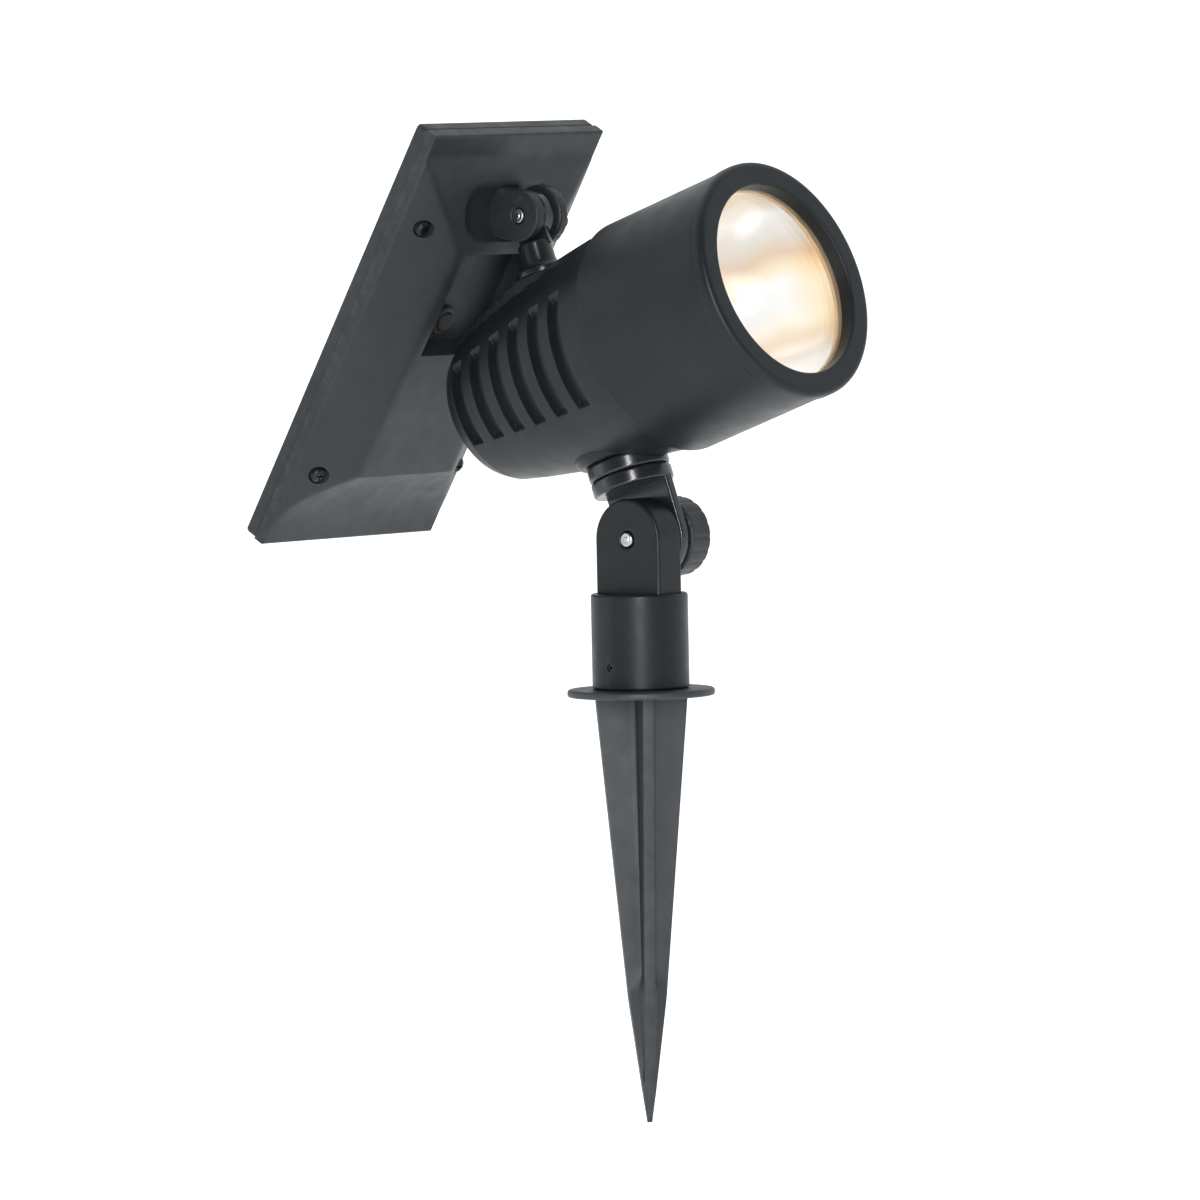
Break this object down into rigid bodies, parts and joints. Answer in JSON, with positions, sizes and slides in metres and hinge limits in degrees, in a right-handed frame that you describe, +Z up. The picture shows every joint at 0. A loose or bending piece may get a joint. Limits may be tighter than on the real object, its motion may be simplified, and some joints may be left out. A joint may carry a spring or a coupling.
{
  "type": "solar garden spotlight",
  "caption": "Solar garden spotlight on a ground stake: the lamp head tilts and turns on a clamped knuckle, and a solar panel with a battery back tilts on the lamp's neck.",
  "frame": {"origin": "on the stake's axis, on the underside of the flange that rests on the ground", "axes": "+Z up along the stake, -Y the way the lamp points, +X to the side the clamp knobs are on"},
  "size_m": [0.1064, 0.2583, 0.4035],
  "materials": {
    "coated_metal": "fine satin powder coat, charcoal",
    "gloss_metal": "smooth gloss coat, charcoal",
    "black_plastic": "satin moulded, charcoal",
    "bolt_steel": "bright zinc plate",
    "seal_rubber": "matte",
    "lens_glass": "clear, flat",
    "solar_glass": "glossy glass over dark blue cells",
    "reflector_silver": "vacuum-metallised",
    "bare_aluminium": "machined",
    "phosphor": "silicone with phosphor, lit",
    "circuit_board": "solder mask, satin",
    "cell_sleeve": "shrink sleeve over a metal can",
    "cable_sheath": "satin"
  },
  "bodies": {
    "stake": {"ground_stake": "black_plastic", "pivot_post": "coated_metal", "post_set_screw": "bolt_steel", "lower_pivot_bolt": "bolt_steel", "lower_washer": "bolt_steel"},
    "lower_knob": {"lower_clamp_knob": "black_plastic"},
    "knuckle": {"head_knuckle": "coated_metal", "stem_retainer": "bolt_steel"},
    "locknut": {"swivel_locknut": "gloss_metal"},
    "head": {"rear_housing": "coated_metal", "front_shroud": "coated_metal", "bezel_ring": "coated_metal", "shroud_seal": "seal_rubber", "lens_glass": "lens_glass", "lens_gasket": "seal_rubber", "reflector": "reflector_silver", "led_emitter": "phosphor", "led_board": "bare_aluminium", "led_screw_1": "bolt_steel", "led_screw_2": "bolt_steel", "heat_sink_plate": "bare_aluminium", "driver_standoff_1": "bare_aluminium", "driver_standoff_2": "bare_aluminium", "driver_board": "circuit_board", "lamp_lead": "cable_sheath", "neck_knuckle": "coated_metal"},
    "panel": {"panel_back_cover": "black_plastic", "panel_front_frame": "black_plastic", "panel_seal": "seal_rubber", "solar_laminate": "solar_glass", "cover_screw_1": "bolt_steel", "cover_screw_2": "bolt_steel", "cover_screw_3": "bolt_steel", "cover_screw_4": "bolt_steel", "battery_cell_1": "cell_sleeve", "battery_cell_2": "cell_sleeve", "battery_cell_3": "cell_sleeve", "battery_tray": "black_plastic", "charge_board": "circuit_board", "switch_bezel": "black_plastic", "switch_body": "black_plastic", "panel_lead": "cable_sheath", "upper_pivot_bolt": "bolt_steel", "upper_washer": "bolt_steel"},
    "upper_knob": {"upper_clamp_knob": "black_plastic"},
    "switch": {"switch_button": "seal_rubber"}
  },
  "joints": [
    {"name": "lower_knob_turn", "type": "hinge", "parent": "stake", "child": "lower_knob", "pos_m": [0.02, 0, 0.063], "axis": [1, 0, 0], "continuous": true},
    {"name": "head_tilt", "type": "hinge", "parent": "stake", "child": "knuckle", "pos_m": [0.01, 0, 0.063], "axis": [1, 0, 0], "range_deg": [-20, 50]},
    {"name": "locknut_turn", "type": "hinge", "parent": "knuckle", "child": "locknut", "pos_m": [0.007, 0, 0.063], "axis": [0, 0.3322, 0.9432], "continuous": true},
    {"name": "head_swivel", "type": "hinge", "parent": "knuckle", "child": "head", "pos_m": [0.007, 0, 0.063], "axis": [0, 0.3322, 0.9432], "continuous": true},
    {"name": "panel_tilt", "type": "hinge", "parent": "head", "child": "panel", "pos_m": [0.0145, 0.06098, 0.19281], "axis": [1, 0, 0], "range_deg": [-6, 80]},
    {"name": "upper_knob_turn", "type": "hinge", "parent": "panel", "child": "upper_knob", "pos_m": [0.0145, 0.06098, 0.19281], "axis": [1, 0, 0], "continuous": true},
    {"name": "switch_press", "type": "slide", "parent": "panel", "child": "switch", "axis": [0, 0.8616, 0.5075], "range_m": [0, 0.0015], "stiffness_N_per_m": 300, "springref_m": -0.002}
  ]
}
